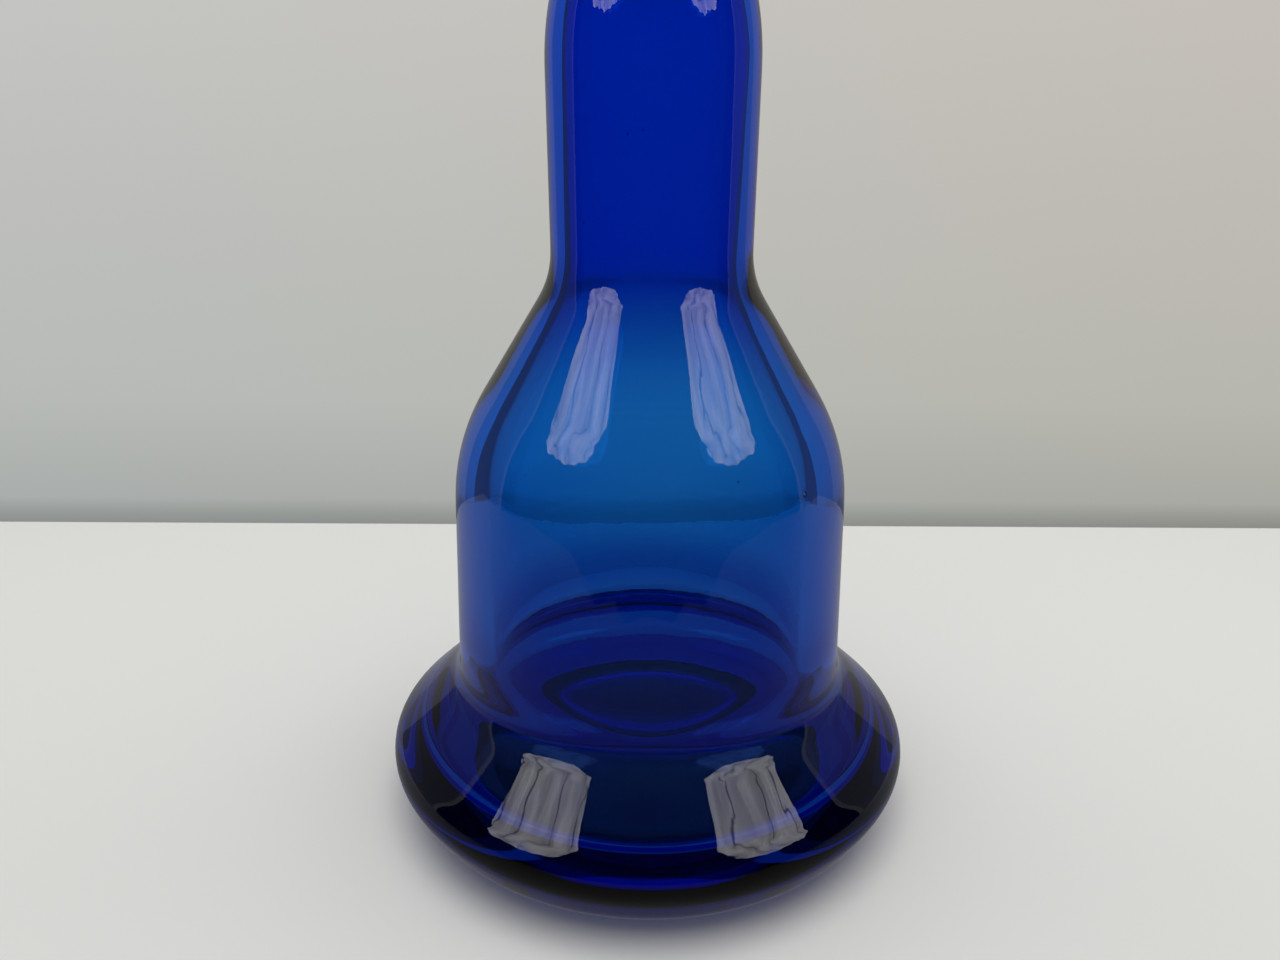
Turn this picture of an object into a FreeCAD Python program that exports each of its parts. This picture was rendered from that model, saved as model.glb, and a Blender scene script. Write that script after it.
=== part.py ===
import FreeCAD, Part
import math
import os
import Sketcher

# A bell-shaped blown-glass bottle with its stopper, in millimetres.
# +Z is up along the bottle's axis. The origin is on that axis, in the plane the foot stands on.
# Every piece is turned about the axis. Its outline is a chain of corners (radius, height), and
# the soft curves of the glass are fillets on the rings that those corners make.

PARTS_FOLDER = "parts"
MATCH = 0.01  # how near a ring's radius and height must be to the ones asked for
SMALLEST_CUT = 1.0  # cubic millimetres that any groove must take away
FULL_TURN = 360

# How a sketch numbers its own origin, its axes and an arc's centre.
ORIGIN_POINT = (-1, 1)
LEVEL_AXIS = -1
UPRIGHT_AXIS = -2
CENTRE_POINT = 3

SIZES = {
    # outside of the blown shell, from the foot up
    "kick_height": 6.0,
    "stand_inner_radius": 50.0,
    "stand_corner_radius": 66.6,
    "stand_round": 15.0,
    "foot_corner_radius": 77.4,
    "foot_corner_height": 19.1,
    "foot_edge_round": 9.0,
    "waist_radius": 55.1,
    "waist_height": 39.5,
    "waist_round": 10.7,
    "shoulder_radius": 53.2,
    "shoulder_height": 107.0,
    "shoulder_round": 57.0,
    "neck_foot_radius": 26.1,
    "neck_foot_height": 150.6,
    "neck_foot_round": 22.0,
    "neck_head_radius": 26.6,
    "neck_head_height": 213.5,
    "neck_head_round": 70.0,
    "throat_radius": 19.5,
    "throat_height": 233.0,
    "throat_round": 12.0,
    "mouth_height": 246.0,
    # hollow of the blown shell
    "hollow_floor_height": 15.0,
    "hollow_heel_radius": 50.0,
    "hollow_heel_height": 9.5,
    "hollow_heel_round": 14.0,
    "hollow_foot_radius": 65.5,
    "hollow_foot_height": 19.5,
    "hollow_foot_round": 5.0,
    "hollow_waist_radius": 45.5,
    "hollow_waist_height": 46.0,
    "hollow_waist_round": 16.0,
    "hollow_shoulder_radius": 44.5,
    "hollow_shoulder_height": 102.0,
    "hollow_shoulder_round": 50.0,
    "hollow_neck_foot_radius": 21.0,
    "hollow_neck_foot_height": 146.5,
    "hollow_neck_foot_round": 38.0,
    "hollow_neck_head_radius": 22.6,
    "hollow_neck_head_height": 212.0,
    "hollow_neck_head_round": 66.0,
    "bore_radius": 15.5,
    "bore_height": 231.5,
    "bore_round": 8.0,
    # ring of glass laid on round the mouth
    "lip_radius": 25.5,
    "lip_thickness": 10.0,
    "lip_round": 4.8,
    # stopper
    "seat_gap": 0.3,
    "fit_clearance": 0.05,
    "cork_length": 20.0,
    "cork_chamfer": 1.2,
    "cork_flange_radius": 19.0,
    "cork_flange_thickness": 3.0,
    "cork_bore_radius": 9.0,
    "peg_bulb_radius": 10.8,
    "peg_bulb_length": 7.0,
    "peg_bulb_taper": 1.8,
    "peg_bulb_round": 2.5,
    "collar_radius": 14.0,
    "collar_thickness": 4.4,
    "collar_round": 1.8,
    "ball_radius": 25.0,
    "ball_flat_radius": 9.6,
    "bubble_radius": 10.0,
}

# Heights and radii that follow from the ones above, as the sheet's own formulas.
FORMULAS = {
    "lip_bottom_height": "mouth_height - lip_thickness",
    "cork_radius": "bore_radius - fit_clearance",
    "cork_bottom_height": "mouth_height - cork_length",
    "cork_seat_height": "mouth_height + seat_gap",
    "cork_top_height": "cork_seat_height + cork_flange_thickness",
    "peg_radius": "cork_bore_radius - fit_clearance",
    "peg_bulb_top_height": "cork_bottom_height - seat_gap",
    "peg_bulb_waist_height": "peg_bulb_top_height - peg_bulb_taper",
    "peg_tip_height": "peg_bulb_top_height - peg_bulb_length",
    "collar_bottom_height": "cork_top_height + seat_gap",
    "collar_top_height": "collar_bottom_height + collar_thickness",
    "ball_centre_height": "collar_top_height + sqrt(ball_radius^2 - ball_flat_radius^2)",
    "ball_top_height": "ball_centre_height + ball_radius",
    "bubble_bottom_height": "ball_centre_height - bubble_radius",
    "bubble_top_height": "ball_centre_height + bubble_radius",
}

AXIS = "axis"  # stands for a radius of nothing: the corner lies on the axis
GROUND = "ground"  # stands for a height of nothing: the corner lies in the standing plane


def make_sheet(doc):
    """The driving sizes, one to a row: a name, then its value, which has the name as alias."""
    sheet = doc.addObject("Spreadsheet::Sheet", "sizes")
    rows = {**SIZES, **{name: "=" + formula for name, formula in FORMULAS.items()}}
    for row, (name, value) in enumerate(rows.items(), start=1):
        sheet.set(f"A{row}", name)
        sheet.set(f"B{row}", str(value))
        sheet.setAlias(f"B{row}", name)
    doc.recompute()
    return sheet


def size(sheet, name):
    return 0.0 if name in (AXIS, GROUND) else float(getattr(sheet, name))


def origin_plane(body, role):
    return next(plane for plane in body.Origin.OriginFeatures if plane.Role == role)


def new_body(doc, label):
    body = doc.addObject("PartDesign::Body", label)
    body.Label = label
    body.Placement = FreeCAD.Placement()
    return body


def add_dome(sketch, start, end):
    """An arc about a point on the axis, between a corner off the axis and one on it."""
    rim, pole = (start, end) if end.x == 0 else (end, start)
    rise = pole.y - rim.y
    centre_height = (pole.y**2 - rim.y**2 - rim.x**2) / (2 * rise)
    radius = abs(pole.y - centre_height)
    circle = Part.Circle(FreeCAD.Vector(0, centre_height, 0), FreeCAD.Vector(0, 0, 1), radius)
    rim_angle = math.atan2(rim.y - centre_height, rim.x)
    if rise > 0:
        first, last, angles = rim, pole, (rim_angle, math.pi / 2)
    else:
        first, last, angles = pole, rim, (-math.pi / 2, rim_angle)
    side = sketch.addGeometry(Part.ArcOfCircle(circle, *angles), False)
    sketch.addConstraint(Sketcher.Constraint("PointOnObject", side, CENTRE_POINT, UPRIGHT_AXIS))
    return (side, 1, 2) if (first, last) == (start, end) else (side, 2, 1)


def hold_corner(sketch, sheet, side, point, number, radius, height):
    """Ties one corner to the sheet's radius and height, or to the axis or the ground."""
    held = (("DistanceX", radius, AXIS, UPRIGHT_AXIS), ("DistanceY", height, GROUND, LEVEL_AXIS))
    for kind, alias, nothing, line in held:
        if alias == nothing:
            sketch.addConstraint(Sketcher.Constraint("PointOnObject", side, point, line))
            continue
        value = size(sheet, alias)
        rule = sketch.addConstraint(
            Sketcher.Constraint(kind, *ORIGIN_POINT, side, point, value)
        )
        rule_name = f"corner_{number}_{kind}"
        sketch.renameConstraint(rule, rule_name)
        sketch.setExpression(f"Constraints.{rule_name}", f"{sheet.Name}.{alias}")


def draw_outline(body, sheet, name, corners, domes=()):
    """A closed sketch through these corners. domes lists the corners whose next side is an arc."""
    sketch = body.newObject("Sketcher::SketchObject", name)
    sketch.AttachmentSupport = [(origin_plane(body, "XZ_Plane"), "")]
    sketch.MapMode = "FlatFace"
    points = [FreeCAD.Vector(size(sheet, r), size(sheet, z), 0) for r, z in corners]
    sides = []
    for number, (start, end) in enumerate(zip(points, points[1:] + points[:1])):
        if number in domes:
            sides.append(add_dome(sketch, start, end))
        else:
            sides.append((sketch.addGeometry(Part.LineSegment(start, end), False), 1, 2))
    for (side, _, last), (next_side, first, _) in zip(sides, sides[1:] + sides[:1]):
        sketch.addConstraint(Sketcher.Constraint("Coincident", side, last, next_side, first))
    for number, (radius, height) in enumerate(corners):
        side, first, _ = sides[number]
        hold_corner(sketch, sheet, side, first, number, radius, height)
    body.Document.recompute()
    return sketch


def turn(body, kind, name, sketch):
    """Turns an outline right round the axis, to make the body (Revolution) or to cut it (Groove)."""
    before = body.Shape.Volume if kind == "Groove" else 0.0
    feature = body.newObject(f"PartDesign::{kind}", name)
    feature.Profile = sketch
    feature.ReferenceAxis = (sketch, ["V_Axis"])
    feature.Angle = FULL_TURN
    body.Document.recompute()
    if kind == "Groove" and before - body.Shape.Volume < SMALLEST_CUT:
        raise RuntimeError(f"{name} cuts nothing out of {body.Label}")


def soften(body, sheet, rounds):
    """A fillet on the ring at each of these corners, each given as round, radius and height."""
    for fillet_alias, radius_alias, height_alias in rounds:
        base = body.Tip
        radius = size(sheet, radius_alias)
        height = size(sheet, height_alias)
        edges = enumerate(base.Shape.Edges, start=1)
        names = [f"Edge{number}" for number, edge in edges if is_ring(edge, radius, height)]
        if not names:
            raise RuntimeError(f"{body.Label} has no ring at {radius_alias}, {height_alias}")
        fillet = body.newObject("PartDesign::Fillet", f"{body.Label}_{fillet_alias}_{radius_alias}")
        fillet.Base = (base, names)
        fillet.setExpression("Radius", f"{sheet.Name}.{fillet_alias}")
        body.Tip = fillet
        body.Document.recompute()


def is_ring(edge, radius, height):
    if edge.Degenerated:  # the point where a dome meets the axis
        return False
    curve = edge.Curve
    return (
        isinstance(curve, Part.Circle)
        and abs(curve.Radius - radius) < MATCH
        and abs(curve.Center.z - height) < MATCH
    )


def make_bottle_shell(doc, sheet):
    """The blown glass: a hollow foot, a bell-shaped body and a long neck, all one wall."""
    body = new_body(doc, "bottle_shell")
    outside = [
        (AXIS, "kick_height"),
        ("stand_inner_radius", GROUND),
        ("stand_corner_radius", GROUND),
        ("foot_corner_radius", "foot_corner_height"),
        ("waist_radius", "waist_height"),
        ("shoulder_radius", "shoulder_height"),
        ("neck_foot_radius", "neck_foot_height"),
        ("neck_head_radius", "neck_head_height"),
        ("throat_radius", "throat_height"),
        ("throat_radius", "mouth_height"),
        (AXIS, "mouth_height"),
    ]
    turn(body, "Revolution", "gather", draw_outline(body, sheet, "outside", outside, domes=[0]))
    soften(body, sheet, [
        ("stand_round", "stand_corner_radius", GROUND),
        ("foot_edge_round", "foot_corner_radius", "foot_corner_height"),
        ("waist_round", "waist_radius", "waist_height"),
        ("shoulder_round", "shoulder_radius", "shoulder_height"),
        ("neck_foot_round", "neck_foot_radius", "neck_foot_height"),
        ("neck_head_round", "neck_head_radius", "neck_head_height"),
        ("throat_round", "throat_radius", "throat_height"),
    ])
    hollow = [
        (AXIS, "hollow_floor_height"),
        ("hollow_heel_radius", "hollow_heel_height"),
        ("hollow_foot_radius", "hollow_foot_height"),
        ("hollow_waist_radius", "hollow_waist_height"),
        ("hollow_shoulder_radius", "hollow_shoulder_height"),
        ("hollow_neck_foot_radius", "hollow_neck_foot_height"),
        ("hollow_neck_head_radius", "hollow_neck_head_height"),
        ("bore_radius", "bore_height"),
        ("bore_radius", "mouth_height"),
        (AXIS, "mouth_height"),
    ]
    turn(body, "Groove", "blown_hollow", draw_outline(body, sheet, "hollow", hollow, domes=[0]))
    soften(body, sheet, [
        ("hollow_heel_round", "hollow_heel_radius", "hollow_heel_height"),
        ("hollow_foot_round", "hollow_foot_radius", "hollow_foot_height"),
        ("hollow_waist_round", "hollow_waist_radius", "hollow_waist_height"),
        ("hollow_shoulder_round", "hollow_shoulder_radius", "hollow_shoulder_height"),
        ("hollow_neck_foot_round", "hollow_neck_foot_radius", "hollow_neck_foot_height"),
        ("hollow_neck_head_round", "hollow_neck_head_radius", "hollow_neck_head_height"),
        ("bore_round", "bore_radius", "bore_height"),
    ])
    return body


def make_lip_ring(doc, sheet):
    """The band of glass laid on hot round the mouth, which stops it chipping."""
    body = new_body(doc, "lip_ring")
    outline = [
        ("throat_radius", "lip_bottom_height"),
        ("lip_radius", "lip_bottom_height"),
        ("lip_radius", "mouth_height"),
        ("throat_radius", "mouth_height"),
    ]
    turn(body, "Revolution", "band", draw_outline(body, sheet, "outline", outline))
    soften(body, sheet, [
        ("lip_round", "lip_radius", "lip_bottom_height"),
        ("lip_round", "lip_radius", "mouth_height"),
    ])
    return body


def make_stopper_cork(doc, sheet):
    """The cork sleeve that seals the mouth, with a flange that sits on it."""
    body = new_body(doc, "stopper_cork")
    outline = [
        ("cork_bore_radius", "cork_bottom_height"),
        ("cork_radius", "cork_bottom_height"),
        ("cork_radius", "cork_seat_height"),
        ("cork_flange_radius", "cork_seat_height"),
        ("cork_flange_radius", "cork_top_height"),
        ("cork_bore_radius", "cork_top_height"),
    ]
    turn(body, "Revolution", "sleeve", draw_outline(body, sheet, "outline", outline))
    soften(body, sheet, [
        ("cork_chamfer", "cork_radius", "cork_bottom_height"),
        ("cork_chamfer", "cork_flange_radius", "cork_seat_height"),
        ("cork_chamfer", "cork_flange_radius", "cork_top_height"),
    ])
    return body


def make_stopper_peg(doc, sheet):
    """The solid glass peg: a bulb under the cork keeps it on, a collar above carries the ball."""
    body = new_body(doc, "stopper_peg")
    outline = [
        (AXIS, "peg_tip_height"),
        ("peg_bulb_radius", "peg_tip_height"),
        ("peg_bulb_radius", "peg_bulb_waist_height"),
        ("peg_radius", "peg_bulb_top_height"),
        ("peg_radius", "collar_bottom_height"),
        ("collar_radius", "collar_bottom_height"),
        ("collar_radius", "collar_top_height"),
        (AXIS, "collar_top_height"),
    ]
    turn(body, "Revolution", "drawn_peg", draw_outline(body, sheet, "outline", outline))
    soften(body, sheet, [
        ("peg_bulb_round", "peg_bulb_radius", "peg_tip_height"),
        ("collar_round", "collar_radius", "collar_bottom_height"),
        ("collar_round", "collar_radius", "collar_top_height"),
    ])
    return body


def make_stopper_ball(doc, sheet):
    """The glass ball to lift the stopper by, with one round air bubble at its centre."""
    body = new_body(doc, "stopper_ball")
    outside = [
        (AXIS, "collar_top_height"),
        ("ball_flat_radius", "collar_top_height"),
        (AXIS, "ball_top_height"),
    ]
    turn(body, "Revolution", "ball", draw_outline(body, sheet, "outside", outside, domes=[1]))
    bubble = [
        (AXIS, "bubble_bottom_height"),
        ("bubble_radius", "ball_centre_height"),
        (AXIS, "bubble_top_height"),
    ]
    turn(body, "Groove", "air_bubble", draw_outline(body, sheet, "bubble", bubble, domes=[0, 1]))
    return body


def check_all(doc, pieces):
    """Stops if any feature failed, or if a piece isn't one valid solid."""
    for item in doc.Objects:
        if {"Invalid", "Error"} & set(item.State):
            raise RuntimeError(f"{item.Label} failed: {item.State}")
    for piece in pieces:
        shape = piece.Shape
        if shape.isNull() or not shape.isValid() or len(shape.Solids) != 1:
            raise RuntimeError(f"{piece.Label} is not one valid solid")


def main():
    doc = FreeCAD.newDocument("bell_shaped_bottle")
    sheet = make_sheet(doc)
    makers = (
        make_bottle_shell,
        make_lip_ring,
        make_stopper_cork,
        make_stopper_peg,
        make_stopper_ball,
    )
    pieces = [make(doc, sheet) for make in makers]
    doc.recompute()
    check_all(doc, pieces)
    os.makedirs(PARTS_FOLDER, exist_ok=True)
    for piece in pieces:
        piece.Shape.exportStep(f"{PARTS_FOLDER}/{piece.Label}.step")
        box = piece.Shape.BoundBox
        print(
            f"{piece.Label}: z {box.ZMin:.2f} to {box.ZMax:.2f} mm, "
            f"radius {box.XMax:.2f} mm, {piece.Shape.Volume / 1000:.1f} cm3"
        )


main()
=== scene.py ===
"""A bell-shaped bottle of blown cobalt glass with a cork and glass stopper, on a pale table. Metres."""
import math

import bmesh
import bpy
import numpy as np
from mathutils import Matrix, Vector

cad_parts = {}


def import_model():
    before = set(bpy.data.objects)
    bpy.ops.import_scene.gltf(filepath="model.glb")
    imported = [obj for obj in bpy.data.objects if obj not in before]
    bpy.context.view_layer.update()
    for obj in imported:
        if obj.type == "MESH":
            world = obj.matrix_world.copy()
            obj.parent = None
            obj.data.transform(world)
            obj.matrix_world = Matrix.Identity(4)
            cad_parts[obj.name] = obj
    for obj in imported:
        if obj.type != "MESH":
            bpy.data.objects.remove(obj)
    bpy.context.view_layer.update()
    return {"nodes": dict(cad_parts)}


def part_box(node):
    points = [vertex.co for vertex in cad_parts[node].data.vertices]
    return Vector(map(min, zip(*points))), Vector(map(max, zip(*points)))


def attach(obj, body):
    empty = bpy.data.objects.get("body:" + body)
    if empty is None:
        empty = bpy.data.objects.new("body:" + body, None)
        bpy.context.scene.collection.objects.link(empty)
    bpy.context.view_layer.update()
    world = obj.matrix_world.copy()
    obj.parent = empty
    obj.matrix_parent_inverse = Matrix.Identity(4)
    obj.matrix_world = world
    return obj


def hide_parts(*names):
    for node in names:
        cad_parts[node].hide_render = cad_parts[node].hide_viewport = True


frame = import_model()

MM = 0.001
FULL_TURN = 2 * math.pi
SAME_PLACE = 2e-6
CORNER_TURN = math.radians(30)
FINE_STEPS = 4  # points along a curve for each step, before it is cut into even steps
EASE_REACH = 3  # how far the softening of a curve looks, as a multiple of its width
SHORTEST_EASED = 12  # steps that a run must pass to be softened

# How finely the pieces are cut: steps along an outline, sides round it, and how far curves are softened.
GLASS_STEP = 1.0 * MM
GLASS_SIDES = 240
GLASS_EASE = 1.5
SMALL_STEP = 0.6 * MM
SMALL_SIDES = 96
BALL_STEP = 0.8 * MM

TABLE_BACK = 0.207
TABLE_FRONT = -0.29
TABLE_HALF_WIDTH = 0.75
TABLE_THICKNESS = 0.03

CAMERA_PLACE = (-0.0027, -0.2556, 0.1798)
CAMERA_PITCH = math.radians(18.56)
CAMERA_ROLL = math.radians(0.3)
CAMERA_LENS = 27.03
SENSOR_WIDTH = 36.0


# ---------------------------------------------------------------- outlines of the CAD pieces


def cut_points(node):
    """The vertices of a round CAD node on its cut at y = 0, x > 0, as (radius, height), and what joins them."""
    mesh = frame["nodes"][node].data
    on_cut = {
        v.index: (round(max(v.co.x, 0.0), 6), round(v.co.z, 6))
        for v in mesh.vertices
        if abs(v.co.y) < SAME_PLACE and v.co.x > -SAME_PLACE
    }
    joined = {}
    for edge in mesh.edges:
        a, b = (on_cut.get(i) for i in edge.vertices)
        if a is not None and b is not None and a != b:
            joined.setdefault(a, set()).add(b)
            joined.setdefault(b, set()).add(a)
    return joined


def outlines(node):
    """Every outline of a round CAD node: a list of (points, closed), the longest first."""
    joined = cut_points(node)
    found = []
    while joined:
        ends = sorted(p for p in joined if len(joined[p]) == 1) or sorted(joined)
        here = ends[0]
        points = [here]
        while True:
            nearby = [p for p in sorted(joined[here]) if p not in points]
            if not nearby:
                break
            here = nearby[0]
            points.append(here)
        closed = len(points) > 2 and points[0] in joined[points[-1]]
        for p in points:
            joined.pop(p)
        found.append((np.array(points), closed))
    found.sort(key=lambda item: -len(item[0]))
    return found


def unit(vectors):
    return vectors / np.maximum(np.linalg.norm(vectors, axis=-1, keepdims=True), 1e-12)


def corner_places(points, closed):
    """The indices at which the outline turns sharply. An open outline's ends count."""
    before = unit(points - np.roll(points, 1, axis=0))
    after = unit(np.roll(points, -1, axis=0) - points)
    turn = np.arccos(np.clip((before * after).sum(1), -1, 1))
    sharp = turn > CORNER_TURN
    if not closed:
        sharp[0] = sharp[-1] = True
    return np.nonzero(sharp)[0]


def smooth_run(points, step, ease):
    """One run between two corners, as even steps along a curve through its points."""
    direction = unit(np.gradient(points, axis=0))
    chord = np.diff(points, axis=0)
    length = np.linalg.norm(chord, axis=1)
    fine = []
    for i, size in enumerate(length):
        t = np.linspace(0, 1, max(2, int(size / (step / FINE_STEPS)) + 2))[:-1, None]
        a, b = points[i], points[i + 1]
        ta, tb = direction[i] * size, direction[i + 1] * size
        fine.append(
            (2 * t**3 - 3 * t**2 + 1) * a + (t**3 - 2 * t**2 + t) * ta
            + (3 * t**2 - 2 * t**3) * b + (t**3 - t**2) * tb
        )
    fine = np.vstack(fine + [points[-1:]])
    along = np.concatenate([[0], np.cumsum(np.linalg.norm(np.diff(fine, axis=0), axis=1))])
    count = max(2, int(round(along[-1] / step)) + 1)
    even = np.linspace(0, along[-1], count)
    run = np.column_stack([np.interp(even, along, fine[:, k]) for k in (0, 1)])
    if ease > 0 and count > SHORTEST_EASED:
        run = eased(run, ease)
    return run


def eased(run, width):
    """The run with its changes of curve softened over a few steps, and its ends kept."""
    reach = int(EASE_REACH * width) + 1
    weight = np.exp(-0.5 * (np.arange(-reach, reach + 1) / width) ** 2)
    weight /= weight.sum()
    head = 2 * run[0] - run[reach:0:-1]
    tail = 2 * run[-1] - run[-2:-reach - 2:-1]
    longer = np.vstack([head, run, tail])
    return np.column_stack([np.convolve(longer[:, k], weight, mode="valid") for k in (0, 1)])


def even_outline(points, closed, step, ease=0.0):
    corners = list(corner_places(points, closed))
    if closed:
        start = corners[0] if corners else 0
        points = np.roll(points, -start, axis=0)
        points = np.vstack([points, points[:1]])
        corners = [c - start for c in corners] or [0]
        corners.append(len(points) - 1)
    runs = [
        smooth_run(points[a:b + 1], step, ease)[:-1]
        for a, b in zip(corners, corners[1:])
    ]
    if not closed:
        runs.append(points[-1:])
    return np.vstack(runs)


# ---------------------------------------------------------------- meshes


def turned(outline, closed, sides, is_hollow=False, wobble=None):
    """Vertices and faces of an outline turned about Z. wobble gives how far each point moves outwards."""
    if (swept_volume(outline, closed) < 0) != is_hollow:
        outline = outline[::-1]
    angle = np.arange(sides) * FULL_TURN / sides
    radii = np.repeat(outline[:, :1], sides, axis=1)
    if wobble is not None:
        radii = radii + wobble(outline, angle)
    heights = np.repeat(outline[:, 1:], sides, axis=1)
    place = np.stack([radii * np.cos(angle), radii * np.sin(angle), heights], axis=2)
    vertices = place.reshape(-1, 3)
    ring = np.arange(len(vertices)).reshape(len(outline), sides)
    if not closed:
        ring[0], ring[-1] = ring[0, 0], ring[-1, 0]
    low, high = (ring, np.roll(ring, -1, axis=0)) if closed else (ring[:-1], ring[1:])
    quads = np.stack([low, np.roll(low, -1, axis=1), np.roll(high, -1, axis=1), high], axis=2)
    faces = [list(dict.fromkeys(quad)) for quad in quads.reshape(-1, 4).tolist()]
    return vertices.tolist(), faces


def swept_volume(outline, closed):
    """The volume that an outline turned about Z holds, with a sign that says which way round it runs."""
    after = np.roll(outline, -1, axis=0) if closed else outline[1:]
    before = outline if closed else outline[:-1]
    radii = (before[:, 0] + after[:, 0]) / 2
    return math.pi * float((radii**2 * (after[:, 1] - before[:, 1])).sum())


def make_piece(name, parts, material, body, node):
    """One piece from (vertices, faces) parts, riding on a body in place of a CAD node."""
    vertices, faces = [], []
    for part_vertices, part_faces in parts:
        start = len(vertices)
        vertices += part_vertices
        faces += [[start + v for v in face] for face in part_faces]
    mesh = bpy.data.meshes.new(name)
    mesh.from_pydata(vertices, [], faces)
    used = {v for face in faces for v in face}
    if len(used) < len(vertices):
        drop_loose(mesh)
    mesh.shade_smooth()
    mesh.set_sharp_from_angle(angle=CORNER_TURN)
    mesh.materials.append(material)
    piece = bpy.data.objects.new(name, mesh)
    bpy.context.scene.collection.objects.link(piece)
    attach(piece, body)
    if node:
        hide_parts(node)
    return piece


def drop_loose(mesh):
    """Removes the spare vertices of the rings that close to a point on the axis."""
    work = bmesh.new()
    work.from_mesh(mesh)
    bmesh.ops.delete(work, geom=[v for v in work.verts if not v.link_faces], context="VERTS")
    work.to_mesh(mesh)
    work.free()


# ---------------------------------------------------------------- materials

GLASS_IOR = 1.5
GLASS_KEEPS = (0.0, 0.62, 0.943, 1)
GLASS_DENSITY = 215.0
GLASS_SKIN = (  # height, and the colour that the surface keeps there
    (0.0, (0.4, 0.33, 0.64)),
    (0.046, (0.42, 0.36, 0.66)),
    (0.066, (0.66, 0.84, 0.95)),
    (0.115, (0.8, 1.0, 1.0)),
    (0.155, (0.02, 0.22, 0.83)),
    (0.25, (0.02, 0.2, 0.83)),
)
RIPPLE_SCALE = 60.0
STREAK_SCALE = (14.0, 14.0, 420.0)
STREAK_SHARE = 0.35
BUMP_STRENGTH = 0.07
BUMP_HEIGHT = 0.4 * MM

CORK_ROUGHNESS = 0.75
CORK_CELLS = 900.0
CORK_COLOURS = ((0.0, (0.25, 0.13, 0.06)), (1.0, (0.55, 0.36, 0.2)))


def bare_material(name):
    """A material with nothing in its node tree but the output."""
    material = bpy.data.materials.new(name)
    material.use_nodes = True
    tree = material.node_tree
    tree.nodes.clear()
    return material, tree, tree.nodes.new("ShaderNodeOutputMaterial")


def new_material(name):
    material, tree, output = bare_material(name)
    shader = tree.nodes.new("ShaderNodeBsdfPrincipled")
    tree.links.new(shader.outputs["BSDF"], output.inputs["Surface"])
    return material, tree, shader, output


def node(tree, kind, **values):
    """A new node with its inputs set by name."""
    made = tree.nodes.new(kind)
    for key, value in values.items():
        made.inputs[key.replace("_", " ")].default_value = value
    return made


def object_place(tree):
    return tree.nodes.new("ShaderNodeTexCoord").outputs["Object"]


def ramp(tree, source, stops, interpolation="LINEAR"):
    """The colours of a ramp along a socket, from (position, colour) stops."""
    made = tree.nodes.new("ShaderNodeValToRGB")
    made.color_ramp.interpolation = interpolation
    points = made.color_ramp.elements
    for point, (position, colour) in zip(points, (stops[0], stops[-1])):
        point.position, point.color = position, (*colour, 1)
    for position, colour in stops[1:-1]:
        points.new(position).color = (*colour, 1)
    tree.links.new(source, made.inputs["Fac"])
    return made.outputs["Color"]


def share_between(tree, source, start, end, interpolation="LINEAR"):
    """Where a socket's value lies between start and end, as 0 to 1."""
    made = node(tree, "ShaderNodeMapRange", From_Min=start, From_Max=end)
    made.interpolation_type = interpolation
    tree.links.new(source, made.inputs["Value"])
    return made.outputs["Result"]


def split_place(tree, source):
    """The X, Y and Z sockets of a place."""
    split = tree.nodes.new("ShaderNodeSeparateXYZ")
    tree.links.new(source, split.inputs["Vector"])
    return split.outputs


def by_height(tree, stops):
    """Colours that change smoothly up the piece, from (height, colour) stops."""
    low, high = stops[0][0], stops[-1][0]
    share = share_between(tree, split_place(tree, object_place(tree))["Z"], low, high)
    return ramp(tree, share, [((height - low) / (high - low), colour) for height, colour in stops], "EASE")


def blue_glass():
    """Glass that is blue in its depth, with a skin of deeper blue that is thin where the bottle swells."""
    material, tree, shader, output = new_material("cobalt_glass")
    shader.inputs["IOR"].default_value = GLASS_IOR
    shader.inputs["Transmission Weight"].default_value = 1.0
    shader.inputs["Roughness"].default_value = 0.0
    tree.links.new(by_height(tree, GLASS_SKIN), shader.inputs["Base Color"])
    depth = node(tree, "ShaderNodeVolumeAbsorption", Color=GLASS_KEEPS, Density=GLASS_DENSITY)
    tree.links.new(depth.outputs["Volume"], output.inputs["Volume"])
    tree.links.new(ripples_and_streaks(tree), shader.inputs["Normal"])
    return material


def ripples_and_streaks(tree):
    """The slight unevenness of blown glass: soft ripples, and fine streaks that run round it."""
    place = object_place(tree)
    ripple = node(tree, "ShaderNodeTexNoise", Scale=RIPPLE_SCALE, Detail=2.0)
    flatten = node(tree, "ShaderNodeMapping", Scale=STREAK_SCALE)
    streaks = node(tree, "ShaderNodeTexNoise", Scale=1.0, Detail=3.0)
    heights = tree.nodes.new("ShaderNodeMath")
    heights.operation = "MULTIPLY_ADD"
    streak_height, streak_share, ripple_height = heights.inputs
    streak_share.default_value = STREAK_SHARE
    bump = node(tree, "ShaderNodeBump", Strength=BUMP_STRENGTH, Distance=BUMP_HEIGHT)
    tree.links.new(place, ripple.inputs["Vector"])
    tree.links.new(place, flatten.inputs["Vector"])
    tree.links.new(flatten.outputs["Vector"], streaks.inputs["Vector"])
    tree.links.new(streaks.outputs["Fac"], streak_height)
    tree.links.new(ripple.outputs["Fac"], ripple_height)
    tree.links.new(heights.outputs["Value"], bump.inputs["Height"])
    return bump.outputs["Normal"]


def cork():
    material, tree, shader, _ = new_material("cork")
    shader.inputs["Roughness"].default_value = CORK_ROUGHNESS
    cells = node(tree, "ShaderNodeTexVoronoi", Scale=CORK_CELLS)
    tree.links.new(object_place(tree), cells.inputs["Vector"])
    tree.links.new(ramp(tree, cells.outputs["Distance"], CORK_COLOURS), shader.inputs["Base Color"])
    return material


# ---------------------------------------------------------------- the bottle

STILL_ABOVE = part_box("lip_ring")[0].z - 12 * MM
STILL_FADE = 20 * MM
STILL_RADIUS = 15 * MM
WAVE_HEIGHT = 100 * MM
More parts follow.
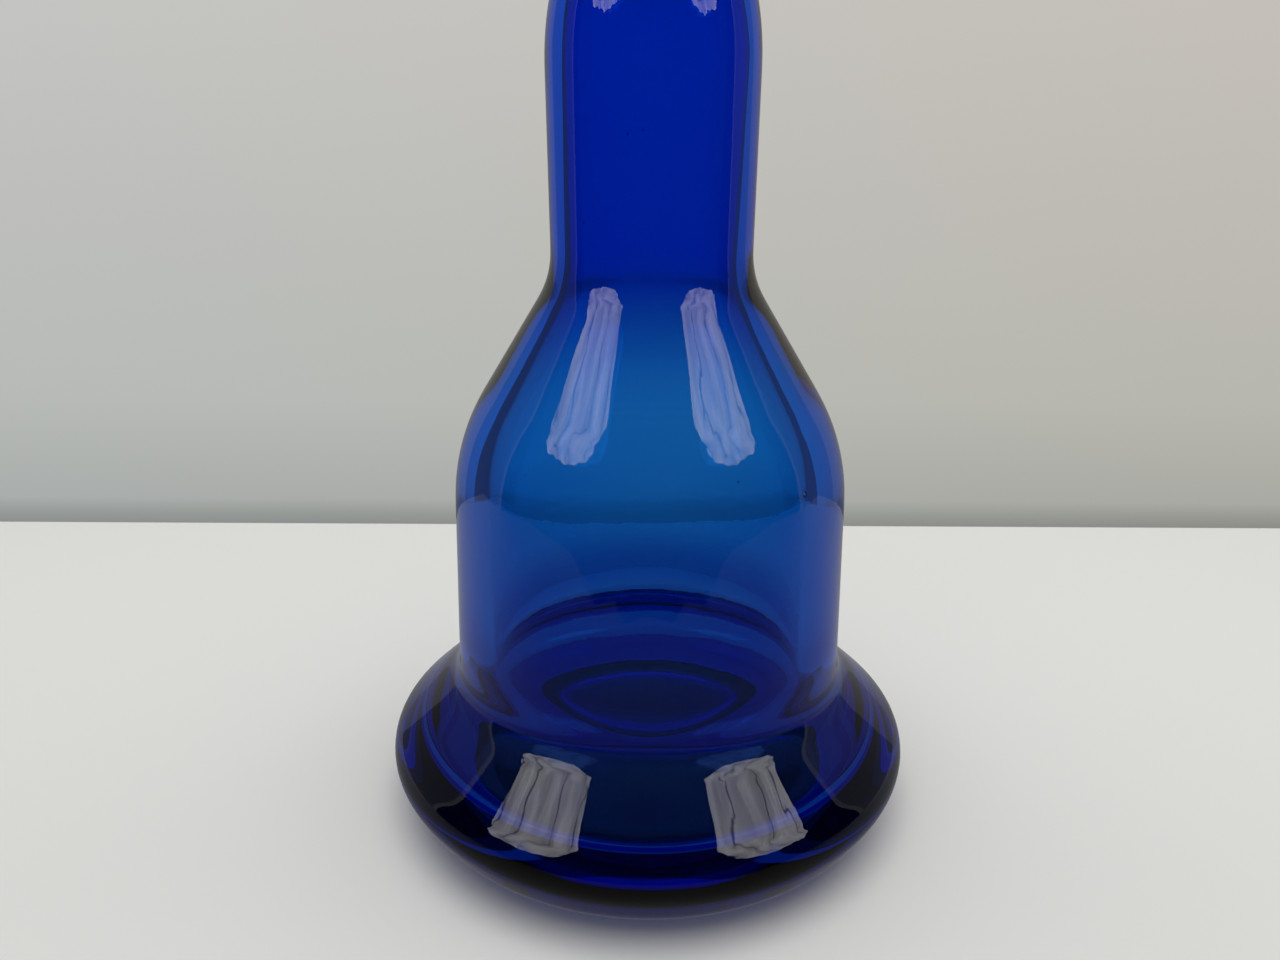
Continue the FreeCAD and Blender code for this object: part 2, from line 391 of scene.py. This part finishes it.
# Waves round the wall: size in mm, waves to a turn, where they start, and how far they climb as a spiral.
OUTSIDE_WAVES = ((0.10, 2, 0.7, 1.0), (0.05, 3, -1.1, 2.3))
INSIDE_WAVES = ((0.25, 1, -0.8, 0.9), (0.15, 3, 0.4, -1.7), (0.05, 9, 1.9, 1.2))

SEED_SIDES = 12
SEED_STRETCH = 1.4
SEED_BAND = 2 * MM
SEED_COUNT = 26
SEED_CHANCE = 7
SEED_HEIGHTS = (0.05, 0.205)
SEED_SIZES = (0.12 * MM, 0.34 * MM)
SEED_DEPTHS = (1.0 * MM, 1.9 * MM)
BIG_SEED = (math.radians(-44), 0.1025, 1.4 * MM, 0.62 * MM)


def hand_blown(outline, angle):
    """How far a hand-blown wall strays from a true circle, for each point of the bottle's outline."""
    radius, height = outline[:, :1], outline[:, 1:]
    still = np.clip((STILL_ABOVE - height) / STILL_FADE, 0, 1) * np.clip(height / STILL_FADE, 0, 1)
    still = still * np.clip(radius / STILL_RADIUS, 0, 1)
    mouth = int(np.argmax(outline[:, 1]))
    is_outside = (np.arange(len(outline)) < mouth)[:, None]
    if outline[0, 1] > outline[-1, 1]:
        is_outside = ~is_outside
    z = height / WAVE_HEIGHT
    outside, inside = (
        sum(size * np.sin(turns * angle + start + climb * z) for size, turns, start, climb in waves)
        for waves in (OUTSIDE_WAVES, INSIDE_WAVES)
    )
    return np.where(is_outside, outside, inside) * MM * still


def seed(outline, angle, height, depth, size):
    """One air bubble in the wall, a little drawn out upwards, this deep under the outside."""
    near = np.abs(outline[:, 1] - height) < SEED_BAND
    reach = outline[near, 0].max() - depth
    vertices, faces = [], []
    for j in range(1, SEED_SIDES):
        tilt = math.pi * (j / SEED_SIDES - 0.5)
        for i in range(SEED_SIDES):
            turn = FULL_TURN * i / SEED_SIDES
            vertices.append((
                reach * math.cos(angle) + size * math.cos(tilt) * math.cos(turn),
                reach * math.sin(angle) + size * math.cos(tilt) * math.sin(turn),
                height + SEED_STRETCH * size * math.sin(tilt),
            ))
    top = (SEED_SIDES - 2) * SEED_SIDES
    for j in range(SEED_SIDES - 2):
        for i in range(SEED_SIDES):
            a, b = j * SEED_SIDES + i, j * SEED_SIDES + (i + 1) % SEED_SIDES
            faces.append([a, a + SEED_SIDES, b + SEED_SIDES, b])
    faces.append(list(range(SEED_SIDES)))
    faces.append([top + i for i in range(SEED_SIDES - 1, -1, -1)])
    return vertices, faces


def bottle():
    (points, closed), = outlines("bottle_shell")
    outline = even_outline(points, closed, GLASS_STEP, GLASS_EASE)
    parts = [turned(outline, closed, GLASS_SIDES, wobble=hand_blown), seed(outline, *BIG_SEED)]
    chance = np.random.default_rng(SEED_CHANCE)
    for _ in range(SEED_COUNT):
        angle, height = chance.uniform(0, FULL_TURN), chance.uniform(*SEED_HEIGHTS)
        parts.append(seed(outline, angle, height, chance.uniform(*SEED_DEPTHS), chance.uniform(*SEED_SIZES)))
    make_piece("bottle_glass", parts, GLASS, "bottle", "bottle_shell")


def round_piece(name, source, material, body, step=SMALL_STEP):
    """A piece turned from the outlines of a CAD node: the longest is its outside, any others are hollows."""
    parts = []
    for i, (points, closed) in enumerate(outlines(source)):
        parts.append(turned(even_outline(points, closed, step), closed, SMALL_SIDES, is_hollow=i > 0))
    make_piece(name, parts, material, body, source)


# ---------------------------------------------------------------- the table and its films

# The mirrored and refracted surroundings aren't lit as brightly as what the camera sees directly. Cards and
# films that only reflections and light through the glass meet stand in for the shade that the bottle and
# the photographer throw.

TABLE_COLOUR = (0.78, 0.78, 0.76, 1)
TABLE_ROUGHNESS = 0.45

SHADE_HEIGHT = 0.4 * MM
SHADE_NEAR = -0.16
SHADE_FAR = 0.12
SHADE_FRONT = (0.15, 0.15, 0.16)
SHADE_BACK = (0.56, 0.57, 0.58)

LEANING_HEIGHT = 1.0 * MM
# Painted reflection: the near-black of the sheet that the glass mirrors for whoever leans over the table.
LEANING_REFLECTION_DARK = (0.004, 0.005, 0.008)
LEANING_EDGE = (
    (0.012, -0.232), (0.05, -0.222), (0.075, -0.24), (0.11, -0.215), (0.15, -0.225), (0.2, -0.25), (0.26, -0.28)
)

TABLE_SHADOW_HEIGHT = 0.8 * MM
TABLE_SHADOW_SHARE = 0.99
TABLE_SHADOW_KEEPS = (0.55, 0.55, 0.56)

FOOT_SHADOW_HEIGHT = 0.2 * MM
FOOT_SHADOW_RADIUS = 0.059
FOOT_SHADOW_SIDES = 64
FOOT_SHADOW_KEEPS = (0.12, 0.12, 0.14)

GLOW_HEIGHT = 0.3 * MM
GLOW_REACH = (0.059, 0.079)
GLOW_SIDES = 96
GLOW_COLOUR = (0.03, 0.07, 0.4)


def stage_object(name, vertices, faces, material):
    mesh = bpy.data.meshes.new(name)
    mesh.from_pydata(vertices, [], faces)
    mesh.materials.append(material)
    thing = bpy.data.objects.new(name, mesh)
    bpy.context.scene.collection.objects.link(thing)
    return thing


def flat_sheet(name, outline, height, material):
    """A level stage object inside an outline of (x, y) corners."""
    corners = [(x, y, height) for x, y in outline]
    return stage_object(name, corners, [tuple(range(len(corners)))], material)


def circle(radius, sides):
    turns = [FULL_TURN * i / sides for i in range(sides)]
    return [(radius * math.cos(turn), radius * math.sin(turn)) for turn in turns]


def seen_only_in_reflections(thing):
    thing.visible_camera = False
    thing.visible_diffuse = False
    thing.visible_transmission = False
    thing.visible_shadow = False
    thing.visible_volume_scatter = False


def plain_glow(tree, colour):
    return node(tree, "ShaderNodeEmission", Strength=1.0, Color=(*colour, 1)).outputs["Emission"]


def clear_shader(tree, colour=(1, 1, 1)):
    return node(tree, "ShaderNodeBsdfTransparent", Color=(*colour, 1)).outputs["BSDF"]


def chosen(tree, switch, off, on):
    """One of two shaders, by a socket that is 0 or 1."""
    choice = tree.nodes.new("ShaderNodeMixShader")
    fraction, first, second = choice.inputs
    tree.links.new(switch, fraction)
    tree.links.new(off, first)
    tree.links.new(on, second)
    return choice.outputs["Shader"]


def emitter(name, colour, through=None, lit=None):
    """A plain glow, as the glass mirrors it.

    Light that has come through the glass meets the colour through, or nothing when that is None. A dull
    surface meets the colour lit, or the same glow when that is None.
    """
    material, tree, output = bare_material(name)
    path = tree.nodes.new("ShaderNodeLightPath")
    seen_through = clear_shader(tree) if through is None else plain_glow(tree, through)
    last = chosen(tree, path.outputs["Is Transmission Ray"], plain_glow(tree, colour), seen_through)
    if lit is not None:
        last = chosen(tree, path.outputs["Is Diffuse Ray"], last, plain_glow(tree, lit))
    tree.links.new(last, output.inputs["Surface"])
    return material


def table():
    material, _, shader, _ = new_material("pale_table")
    shader.inputs["Base Color"].default_value = TABLE_COLOUR
    shader.inputs["Roughness"].default_value = TABLE_ROUGHNESS
    x, front, back, low = TABLE_HALF_WIDTH, TABLE_FRONT, TABLE_BACK, -TABLE_THICKNESS
    corners = [(side * x, y, z) for z in (low, 0.0) for y in (front, back) for side in (-1, 1)]
    faces = [(0, 2, 3, 1), (4, 5, 7, 6), (0, 1, 5, 4), (2, 6, 7, 3), (0, 4, 6, 2), (1, 3, 7, 5)]
    stage_object("table_top", corners, faces, material)


def table_outline(share=1.0):
    x, front, back = (share * edge for edge in (TABLE_HALF_WIDTH, TABLE_FRONT, TABLE_BACK))
    return [(-x, front), (x, front), (x, back), (-x, back)]


def table_shade():
    """The table as the glass mirrors it: in the photographer's shadow in front, brighter towards the back."""
    material = emitter("table_shade", SHADE_FRONT)
    tree = material.node_tree
    glow = next(n for n in tree.nodes if n.type == "EMISSION")
    share = share_between(tree, split_place(tree, object_place(tree))["Y"], SHADE_NEAR, SHADE_FAR, "SMOOTHSTEP")
    tree.links.new(ramp(tree, share, ((0.0, SHADE_FRONT), (1.0, SHADE_BACK))), glow.inputs["Color"])
    seen_only_in_reflections(flat_sheet("table_shade", table_outline(), SHADE_HEIGHT, material))


def photographer():
    """Painted reflection: a dark sheet on the front of the table, seen only in the glass's reflections, for the
    dark edge of whoever leans over the front of the table as the glass mirrors it.
    """
    right = list(LEANING_EDGE)
    left = [(-reach, near) for reach, near in reversed(LEANING_EDGE)]
    wide = LEANING_EDGE[-1][0]
    outline = left + right + [(wide, TABLE_FRONT), (-wide, TABLE_FRONT)]
    material = emitter("photographer", LEANING_REFLECTION_DARK)
    seen_only_in_reflections(flat_sheet("photographer", outline, LEANING_HEIGHT, material))


def film(name, outline, height, keeps, in_reflections):
    """A dimming film on the table, for light that comes by way of the glass."""
    material, tree, output = bare_material(name)
    tree.links.new(clear_shader(tree, keeps), output.inputs["Surface"])
    sheet = flat_sheet(name, outline, height, material)
    seen_only_in_reflections(sheet)
    sheet.visible_glossy = in_reflections
    sheet.visible_transmission = True


def table_shadow():
    film("table_shadow", table_outline(TABLE_SHADOW_SHARE), TABLE_SHADOW_HEIGHT, TABLE_SHADOW_KEEPS, True)


def foot_shadow():
    outline = circle(FOOT_SHADOW_RADIUS, FOOT_SHADOW_SIDES)
    film("foot_shadow", outline, FOOT_SHADOW_HEIGHT, FOOT_SHADOW_KEEPS, False)


def foot_glow():
    """The blue light that the glass throws on the table under the foot's overhang, as seen through the glass."""
    ring = [(x, y, GLOW_HEIGHT) for reach in GLOW_REACH for x, y in circle(reach, GLOW_SIDES)]
    faces = []
    for i in range(GLOW_SIDES):
        after = (i + 1) % GLOW_SIDES
        faces.append((i, after, GLOW_SIDES + after, GLOW_SIDES + i))
    material, tree, output = bare_material("foot_glow")
    path = tree.nodes.new("ShaderNodeLightPath")
    glow = chosen(tree, path.outputs["Is Transmission Ray"], clear_shader(tree), plain_glow(tree, GLOW_COLOUR))
    tree.links.new(glow, output.inputs["Surface"])
    band = stage_object("foot_glow", ring, faces, material)
    seen_only_in_reflections(band)
    band.visible_transmission = True


# ---------------------------------------------------------------- the room and its light

ROOM_RADIUS = 1.6
ROOM_COLUMNS = 48
ROOM_ROWS = 32
ROOM_MIRRORED = (0.004, 0.005, 0.008)
ROOM_THROUGH = (0.1, 0.1, 0.1)
ROOM_LIT = (0.28, 0.28, 0.28)

FLAG_DISTANCE = 1.3
FLAG_HEIGHTS = (-0.5, 1.2)
FLAG_COLUMNS = 12
LEFT_FLAG_SHADE = (0.12, 0.12, 0.125)
RIGHT_FLAG_SHADE = (0.14, 0.14, 0.145)

CEILING_SIZE = (1.6, 1.2)
CEILING_PLACE = (0.1, -0.25, 1.3)
CEILING_POWER = 13.2

WINDOW_CENTRE = Vector((0, 0, 0.1))
WINDOW_DISTANCE = 1.2
WINDOW_AZIMUTH = 56
WINDOW_ELEVATION = 40
WINDOW_SIZE = (0.64, 0.68)
WINDOW_STRENGTH = 4.0
WINDOW_CORNERS = 96
WINDOW_SQUARENESS = 3
WINDOW_RAGS = ((0.035, 7, 1.3), (0.03, 17, -0.6))  # size as a share, waves to a turn, where they start
CLOTH_COLOUR = (1.0, 0.98, 1.0)
CREASE_SCALE = 1.6
CREASE_PHASE = 4.0
CREASE_LIGHT = ((0.0, 0.15), (0.02, 0.75), (0.3, 0.7), (0.75, 1.0), (1.0, 0.88))
CLOUD_SCALE = 6.0
CLOUD_LIGHT = ((0.3, 0.55), (0.65, 1.0))

# The back wall's pale grey with painted shade, darkest just above the table's back edge where wall meets table
# and lighter up the wall, by how far it rises over how far away it is, as 0 to 1 within WALL_RISE.
WALL_RISE = (-0.5, 0.5)
WALL_SHADE_STOPS = (
    (0.0, (0.26, 0.275, 0.27)),
    (0.112, (0.265, 0.28, 0.275)),
    (0.123, (0.305, 0.325, 0.315)),
    (0.141, (0.40, 0.42, 0.41)),
    (0.254, (0.475, 0.495, 0.475)),
    (0.46, (0.515, 0.52, 0.505)),
    (0.62, (0.55, 0.55, 0.535)),
    (1.0, (0.60, 0.60, 0.59)),
)
WALL_NEAREST = 0.75
WALL_SIDEWAYS = (-0.5, 0.5)
WALL_TINTS = ((0.0, (1.0, 1.0, 1.0)), (1.0, (1.0, 0.955, 0.9)))
MIRRORED_SHARE = 0.5


def dark_room():
    """A half shell in front: black where the glass mirrors it, dim through the glass, and pale to the table."""
    vertices, faces = [], []
    for j in range(ROOM_ROWS + 1):
        tilt = math.pi * (j / ROOM_ROWS - 0.5)
        for i in range(ROOM_COLUMNS + 1):
            turn = math.pi * i / ROOM_COLUMNS
            vertices.append((
                -ROOM_RADIUS * math.cos(turn) * math.cos(tilt),
                -ROOM_RADIUS * math.sin(turn) * math.cos(tilt),
                ROOM_RADIUS * math.sin(tilt),
            ))
    row = ROOM_COLUMNS + 1
    for j in range(ROOM_ROWS):
        for i in range(ROOM_COLUMNS):
            a = j * row + i
            faces.append((a, a + 1, a + row + 1, a + row))
    material = emitter("dark_room", ROOM_MIRRORED, ROOM_THROUGH, ROOM_LIT)
    shell = stage_object("dark_room", vertices, faces, material)
    seen_only_in_reflections(shell)
    shell.visible_diffuse = shell.visible_shadow = True


def side_flag(name, side, start, end, shade):
    """A tall dark card beside the back wall. Only light through the glass or off it shows it."""
    vertices, faces = [], []
    for i in range(FLAG_COLUMNS + 1):
        turn = math.radians(start + (end - start) * i / FLAG_COLUMNS)
        x, y = side * FLAG_DISTANCE * math.sin(turn), FLAG_DISTANCE * math.cos(turn)
        vertices += [(x, y, height) for height in FLAG_HEIGHTS]
    for i in range(FLAG_COLUMNS):
        a = 2 * i
        faces.append((a, a + 2, a + 3, a + 1))
    card = stage_object(name, vertices, faces, emitter(name, shade, shade))
    seen_only_in_reflections(card)
    card.visible_transmission = True


def ceiling_light():
    """The soft light overhead, a little in front of the bottle. It doesn't show in the glass."""
    light = bpy.data.lights.new("ceiling_light", "AREA")
    light.shape = "RECTANGLE"
    light.size, light.size_y = CEILING_SIZE
    light.energy = CEILING_POWER
    lamp = bpy.data.objects.new("ceiling_light", light)
    bpy.context.scene.collection.objects.link(lamp)
    lamp.location = CEILING_PLACE
    lamp.visible_camera = lamp.visible_glossy = lamp.visible_transmission = False


def times(tree, first, second):
    """The product of a socket and another socket or a number."""
    made = tree.nodes.new("ShaderNodeMath")
    made.operation = "MULTIPLY"
    tree.links.new(first, made.inputs[0])
    if isinstance(second, float):
        made.inputs[1].default_value = second
    else:
        tree.links.new(second, made.inputs[1])
    return made.outputs["Value"]


def creased_cloth(name):
    """A bright cloth over a window: uneven, with dark creases that run down it."""
    material, tree, output = bare_material(name)
    glow = node(tree, "ShaderNodeEmission", Color=(*CLOTH_COLOUR, 1))
    place = object_place(tree)
    creases = node(tree, "ShaderNodeTexWave", Scale=CREASE_SCALE, Distortion=8.0, Detail=3.0, Detail_Scale=2.2)
    creases.inputs["Phase Offset"].default_value = CREASE_PHASE
    clouds = node(tree, "ShaderNodeTexNoise", Scale=CLOUD_SCALE, Detail=3.0)
    lights = []
    for texture, stops in ((creases, CREASE_LIGHT), (clouds, CLOUD_LIGHT)):
        tree.links.new(place, texture.inputs["Vector"])
        greys = [(position, (light, light, light)) for position, light in stops]
        lights.append(ramp(tree, texture.outputs["Fac"], greys))
    tree.links.new(times(tree, times(tree, *lights), WINDOW_STRENGTH), glow.inputs["Strength"])
    tree.links.new(glow.outputs["Emission"], output.inputs["Surface"])
    return material


def window(name, side):
    """A ragged lit panel that faces the bottle, to the camera's left (-1) or right (1)."""
    azimuth, elevation = math.radians(side * WINDOW_AZIMUTH), math.radians(WINDOW_ELEVATION)
    level = math.cos(elevation)
    out = Vector((math.sin(azimuth) * level, -math.cos(azimuth) * level, math.sin(elevation)))
    width, height = WINDOW_SIZE
    outline = []
    for i in range(WINDOW_CORNERS):
        turn = FULL_TURN * i / WINDOW_CORNERS
        ragged = 1 + sum(size * math.sin(waves * turn + side * start) for size, waves, start in WINDOW_RAGS)
        across, up = abs(math.cos(turn)) ** WINDOW_SQUARENESS, abs(math.sin(turn)) ** WINDOW_SQUARENESS
        half = 0.5 * ragged * (across + up) ** (-1 / WINDOW_SQUARENESS)
        outline.append((width * half * math.cos(turn), height * half * math.sin(turn)))
    panel = flat_sheet(name, outline, 0.0, creased_cloth(name))
    facing = out.to_track_quat("Z", "Y").to_matrix().to_4x4()
    panel.matrix_world = Matrix.Translation(WINDOW_CENTRE + out * WINDOW_DISTANCE) @ facing
    panel.visible_camera = panel.visible_diffuse = panel.visible_shadow = False


def world():
    made = bpy.data.worlds.new("pale_room")
    bpy.context.scene.world = made
    made.use_nodes = True
    tree = made.node_tree
    tree.nodes.clear()
    output = tree.nodes.new("ShaderNodeOutputWorld")
    back = tree.nodes.new("ShaderNodeBackground")
    blend = tree.nodes.new("ShaderNodeVectorMath")
    blend.operation = "MULTIPLY"
    tree.links.new(wall_colour_and_shade(tree), blend.inputs[0])
    tree.links.new(wall_tint(tree), blend.inputs[1])
    tree.links.new(blend.outputs["Vector"], back.inputs["Color"])
    tree.links.new(mirrored_dimmer(tree), back.inputs["Strength"])
    tree.links.new(back.outputs["Background"], output.inputs["Surface"])


def sky_place(tree):
    """The X, Y and Z sockets of the direction in which the world is seen."""
    return split_place(tree, tree.nodes.new("ShaderNodeTexCoord").outputs["Generated"])


# Painted shade on the back wall: darkest low down by the table's edge, lighter towards the top.
def wall_colour_and_shade(tree):
    place = sky_place(tree)
    away = tree.nodes.new("ShaderNodeMath")
    away.operation = "MAXIMUM"
    away.inputs[1].default_value = WALL_NEAREST
    rise = tree.nodes.new("ShaderNodeMath")
    rise.operation = "DIVIDE"
    tree.links.new(place["Y"], away.inputs[0])
    tree.links.new(place["Z"], rise.inputs[0])
    tree.links.new(away.outputs["Value"], rise.inputs[1])
    return ramp(tree, share_between(tree, rise.outputs["Value"], *WALL_RISE), WALL_SHADE_STOPS)


def wall_tint(tree):
    return ramp(tree, share_between(tree, sky_place(tree)["X"], *WALL_SIDEWAYS), WALL_TINTS)


def mirrored_dimmer(tree):
    """The world's strength: full, but less where a surface mirrors it."""
    path = tree.nodes.new("ShaderNodeLightPath")
    mirrored = tree.nodes.new("ShaderNodeMath")
    mirrored.operation = "GREATER_THAN"
    dimmer = node(tree, "ShaderNodeMapRange", To_Min=1.0, To_Max=MIRRORED_SHARE)
    tree.links.new(path.outputs["Is Glossy Ray"], mirrored.inputs[0])
    tree.links.new(path.outputs["Is Transmission Ray"], mirrored.inputs[1])
    tree.links.new(mirrored.outputs["Value"], dimmer.inputs["Value"])
    return dimmer.outputs["Result"]


def camera():
    data = bpy.data.cameras.new("camera")
    data.lens = CAMERA_LENS
    data.sensor_width = SENSOR_WIDTH
    data.clip_start = 10 * MM
    made = bpy.data.objects.new("camera", data)
    bpy.context.scene.collection.objects.link(made)
    tilt = Matrix.Rotation(math.pi / 2 - CAMERA_PITCH, 4, "X")
    roll = Matrix.Rotation(CAMERA_ROLL, 4, "Z")
    made.matrix_world = Matrix.Translation(CAMERA_PLACE) @ tilt @ roll
    bpy.context.scene.camera = made


bpy.context.scene.view_settings.view_transform = "Standard"
camera()
world()
table()
dark_room()
side_flag("left_flag", -1, 50, 88, LEFT_FLAG_SHADE)
side_flag("right_flag", 1, 54, 88, RIGHT_FLAG_SHADE)
table_shade()
photographer()
table_shadow()
foot_shadow()
foot_glow()
ceiling_light()
window("left_window", -1)
window("right_window", 1)

GLASS = blue_glass()
CORK = cork()
bottle()
round_piece("lip_ring_glass", "lip_ring", GLASS, "bottle")
round_piece("cork_sleeve", "stopper_cork", CORK, "cork")
round_piece("peg_glass", "stopper_peg", GLASS, "stopper")
round_piece("ball_glass", "stopper_ball", GLASS, "stopper", step=BALL_STEP)
